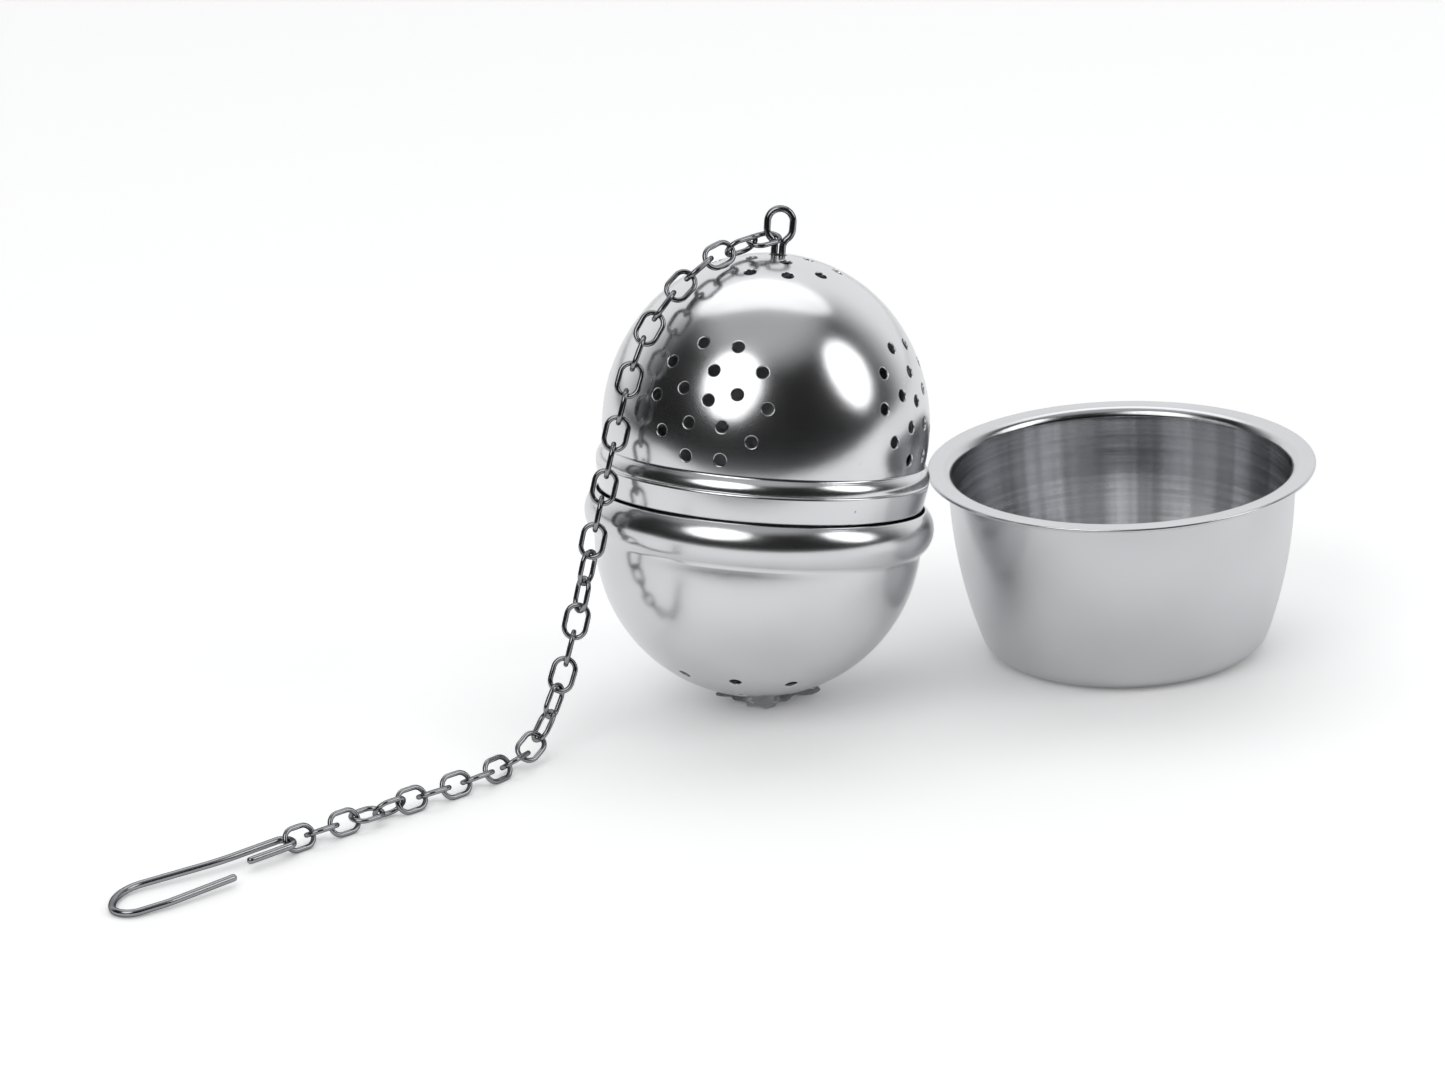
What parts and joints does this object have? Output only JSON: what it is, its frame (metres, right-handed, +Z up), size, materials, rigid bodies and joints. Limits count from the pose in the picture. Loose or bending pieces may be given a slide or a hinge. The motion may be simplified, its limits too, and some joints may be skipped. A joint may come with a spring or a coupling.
{
  "type": "tea infuser with drip cup",
  "caption": "Perforated steel egg in two screwed shells on a chain with a wire hook, next to its small lipped drip cup.",
  "frame": {"origin": "centre of the drip cup's base, on the table", "axes": "+X from the egg towards the cup, +Y away from the side the chain runs out to, +Z up"},
  "size_m": [0.1465, 0.0997, 0.0605],
  "materials": {
    "cup_steel": "satin outside, turned lines inside",
    "lower_steel": "polished",
    "upper_steel": "polished",
    "wire_steel": "drawn wire",
    "chain_steel": "drawn wire"
  },
  "bodies": {
    "drip_cup": {"drip_cup": "cup_steel"},
    "lower_shell": {"lower_shell": "lower_steel"},
    "upper_shell": {"upper_shell": "upper_steel"},
    "hanger_eye": {"hanger_eye": "wire_steel"},
    "link_01": {"link_01": "chain_steel"},
    "link_02": {"link_02": "chain_steel"},
    "link_03": {"link_03": "chain_steel"},
    "link_04": {"link_04": "chain_steel"},
    "link_05": {"link_05": "chain_steel"},
    "link_06": {"link_06": "chain_steel"},
    "link_07": {"link_07": "chain_steel"},
    "link_08": {"link_08": "chain_steel"},
    "link_09": {"link_09": "chain_steel"},
    "link_10": {"link_10": "chain_steel"},
    "link_11": {"link_11": "chain_steel"},
    "link_12": {"link_12": "chain_steel"},
    "link_13": {"link_13": "chain_steel"},
    "link_14": {"link_14": "chain_steel"},
    "link_15": {"link_15": "chain_steel"},
    "link_16": {"link_16": "chain_steel"},
    "link_17": {"link_17": "chain_steel"},
    "link_18": {"link_18": "chain_steel"},
    "link_19": {"link_19": "chain_steel"},
    "link_20": {"link_20": "chain_steel"},
    "link_21": {"link_21": "chain_steel"},
    "link_22": {"link_22": "chain_steel"},
    "link_23": {"link_23": "chain_steel"},
    "link_24": {"link_24": "chain_steel"},
    "link_25": {"link_25": "chain_steel"},
    "link_26": {"link_26": "chain_steel"},
    "link_27": {"link_27": "chain_steel"},
    "link_28": {"link_28": "chain_steel"},
    "link_29": {"link_29": "chain_steel"},
    "link_30": {"link_30": "chain_steel"},
    "link_31": {"link_31": "chain_steel"},
    "link_32": {"link_32": "chain_steel"},
    "link_33": {"link_33": "chain_steel"},
    "link_34": {"link_34": "chain_steel"},
    "hook": {"hook": "wire_steel"}
  },
  "joints": [
    {"name": "egg_lift", "type": "slide", "parent": "drip_cup", "child": "lower_shell", "axis": [0, 0, 1], "range_m": [0, 0.05]},
    {"name": "shell_unscrew", "type": "slide", "parent": "lower_shell", "child": "upper_shell", "axis": [0.1115, 0.1719, 0.9788], "range_m": [0, 0.025]},
    {"name": "eye_swivel", "type": "hinge", "parent": "upper_shell", "child": "hanger_eye", "pos_m": [-0.04135, -0.00547, 0.05457], "axis": [0.1115, 0.1719, 0.9788], "range_deg": [0, 15]},
    {"name": "link_01_swing", "type": "hinge", "parent": "hanger_eye", "child": "link_01", "pos_m": [-0.04211, -0.00514, 0.05654], "axis": [-0.552, 0.8339, 0], "range_deg": [0, 4]},
    {"name": "link_02_swing", "type": "hinge", "parent": "link_01", "child": "link_02", "pos_m": [-0.04469, -0.00705, 0.05663], "axis": [-0.5604, 0.8282, 0], "range_deg": [0, 4]},
    {"name": "link_03_swing", "type": "hinge", "parent": "link_02", "child": "link_03", "pos_m": [-0.04747, -0.00893, 0.05644], "axis": [-0.5772, 0.8101, -0.1024], "range_deg": [0, 4]},
    {"name": "link_04_swing", "type": "hinge", "parent": "link_03", "child": "link_04", "pos_m": [-0.0501, -0.01091, 0.05573], "axis": [-0.61, 0.7842, -0.1139], "range_deg": [0, 4]},
    {"name": "link_05_swing", "type": "hinge", "parent": "link_04", "child": "link_05", "pos_m": [-0.05244, -0.01294, 0.05442], "axis": [-0.6113, 0.783, -0.1146], "range_deg": [0, 4]},
    {"name": "link_06_swing", "type": "hinge", "parent": "link_05", "child": "link_06", "pos_m": [-0.05462, -0.01488, 0.05275], "axis": [-0.5976, 0.7952, -0.103], "range_deg": [0, 4]},
    {"name": "link_07_swing", "type": "hinge", "parent": "link_06", "child": "link_07", "pos_m": [-0.05662, -0.01664, 0.05069], "axis": [-0.5922, 0.8, -0.0968], "range_deg": [0, 4]},
    {"name": "link_08_swing", "type": "hinge", "parent": "link_07", "child": "link_08", "pos_m": [-0.0583, -0.01818, 0.04821], "axis": [-0.5942, 0.7981, -0.1], "range_deg": [0, 4]},
    {"name": "link_09_swing", "type": "hinge", "parent": "link_08", "child": "link_09", "pos_m": [-0.05955, -0.01947, 0.04537], "axis": [-0.5812, 0.8107, -0.0705], "range_deg": [0, 4]},
    {"name": "link_10_swing", "type": "hinge", "parent": "link_09", "child": "link_10", "pos_m": [-0.06057, -0.02045, 0.04232], "axis": [-0.5559, 0.8312, 0.0085], "range_deg": [0, 4]},
    {"name": "link_11_swing", "type": "hinge", "parent": "link_10", "child": "link_11", "pos_m": [-0.06149, -0.021, 0.03913], "axis": [-0.5511, 0.8339, 0.0312], "range_deg": [0, 4]},
    {"name": "link_12_swing", "type": "hinge", "parent": "link_11", "child": "link_12", "pos_m": [-0.06234, -0.02143, 0.03591], "axis": [-0.5515, 0.8338, 0.0264], "range_deg": [0, 4]},
    {"name": "link_13_swing", "type": "hinge", "parent": "link_12", "child": "link_13", "pos_m": [-0.06321, -0.02191, 0.0327], "axis": [-0.5513, 0.8341, 0.0203], "range_deg": [0, 4]},
    {"name": "link_14_swing", "type": "hinge", "parent": "link_13", "child": "link_14", "pos_m": [-0.06406, -0.02239, 0.02948], "axis": [-0.5493, 0.8356, 0.0069], "range_deg": [0, 4]},
    {"name": "link_15_swing", "type": "hinge", "parent": "link_14", "child": "link_15", "pos_m": [-0.06487, -0.02291, 0.02626], "axis": [-0.5464, 0.8375, -0.0045], "range_deg": [0, 4]},
    {"name": "link_16_swing", "type": "hinge", "parent": "link_15", "child": "link_16", "pos_m": [-0.06569, -0.02346, 0.02305], "axis": [-0.5454, 0.8382, -0.0075], "range_deg": [0, 4]},
    {"name": "link_17_swing", "type": "hinge", "parent": "link_16", "child": "link_17", "pos_m": [-0.0665, -0.02402, 0.01984], "axis": [-0.5431, 0.8395, -0.0125], "range_deg": [0, 4]},
    {"name": "link_18_swing", "type": "hinge", "parent": "link_17", "child": "link_18", "pos_m": [-0.06732, -0.0246, 0.01663], "axis": [-0.5406, 0.8408, -0.0283], "range_deg": [0, 4]},
    {"name": "link_19_swing", "type": "hinge", "parent": "link_18", "child": "link_19", "pos_m": [-0.06819, -0.02527, 0.01346], "axis": [-0.5496, 0.8347, -0.0347], "range_deg": [0, 4]},
    {"name": "link_20_swing", "type": "hinge", "parent": "link_19", "child": "link_20", "pos_m": [-0.06914, -0.02603, 0.01032], "axis": [-0.5826, 0.8101, -0.0654], "range_deg": [0, 4]},
    {"name": "link_21_swing", "type": "hinge", "parent": "link_20", "child": "link_21", "pos_m": [-0.07024, -0.02708, 0.00732], "axis": [-0.6984, 0.7092, -0.0962], "range_deg": [0, 4]},
    {"name": "link_22_swing", "type": "hinge", "parent": "link_21", "child": "link_22", "pos_m": [-0.07153, -0.02876, 0.0047], "axis": [-0.7958, 0.6035, -0.0506], "range_deg": [0, 4]},
    {"name": "link_23_swing", "type": "hinge", "parent": "link_22", "child": "link_23", "pos_m": [-0.07298, -0.03088, 0.00253], "axis": [-0.8114, 0.5846, 0], "range_deg": [0, 4]},
    {"name": "link_24_swing", "type": "hinge", "parent": "link_23", "child": "link_24", "pos_m": [-0.07485, -0.03346, 0.00139], "axis": [-0.8132, 0.582, 0], "range_deg": [0, 4]},
    {"name": "link_25_swing", "type": "hinge", "parent": "link_24", "child": "link_25", "pos_m": [-0.07682, -0.03621, 0.00142], "axis": [-0.7477, 0.664, 0], "range_deg": [0, 4]},
    {"name": "link_26_swing", "type": "hinge", "parent": "link_25", "child": "link_26", "pos_m": [-0.07908, -0.0387, 0.00151], "axis": [-0.6678, 0.7443, 0], "range_deg": [0, 4]},
    {"name": "link_27_swing", "type": "hinge", "parent": "link_26", "child": "link_27", "pos_m": [-0.0816, -0.04092, 0.00147], "axis": [-0.635, 0.7725, 0], "range_deg": [0, 4]},
    {"name": "link_28_swing", "type": "hinge", "parent": "link_27", "child": "link_28", "pos_m": [-0.08421, -0.04304, 0.00148], "axis": [-0.6244, 0.7811, 0], "range_deg": [0, 4]},
    {"name": "link_29_swing", "type": "hinge", "parent": "link_28", "child": "link_29", "pos_m": [-0.08684, -0.04513, 0.00149], "axis": [-0.6304, 0.7762, 0], "range_deg": [0, 4]},
    {"name": "link_30_swing", "type": "hinge", "parent": "link_29", "child": "link_30", "pos_m": [-0.08944, -0.04726, 0.0015], "axis": [-0.6294, 0.777, 0], "range_deg": [0, 4]},
    {"name": "link_31_swing", "type": "hinge", "parent": "link_30", "child": "link_31", "pos_m": [-0.09205, -0.04937, 0.0015], "axis": [-0.6298, 0.7767, 0], "range_deg": [0, 4]},
    {"name": "link_32_swing", "type": "hinge", "parent": "link_31", "child": "link_32", "pos_m": [-0.09466, -0.05149, 0.0015], "axis": [-0.6371, 0.7708, 0], "range_deg": [0, 4]},
    {"name": "link_33_swing", "type": "hinge", "parent": "link_32", "child": "link_33", "pos_m": [-0.09725, -0.05363, 0.0015], "axis": [-0.6395, 0.7688, 0], "range_deg": [0, 4]},
    {"name": "link_34_swing", "type": "hinge", "parent": "link_33", "child": "link_34", "pos_m": [-0.09983, -0.05578, 0.0015], "axis": [-0.6402, 0.7682, 0], "range_deg": [0, 4]},
    {"name": "hook_swing", "type": "hinge", "parent": "link_34", "child": "hook", "pos_m": [-0.10242, -0.05793, 0.0015], "axis": [-0.6402, 0.7682, 0], "range_deg": [0, 12]}
  ]
}
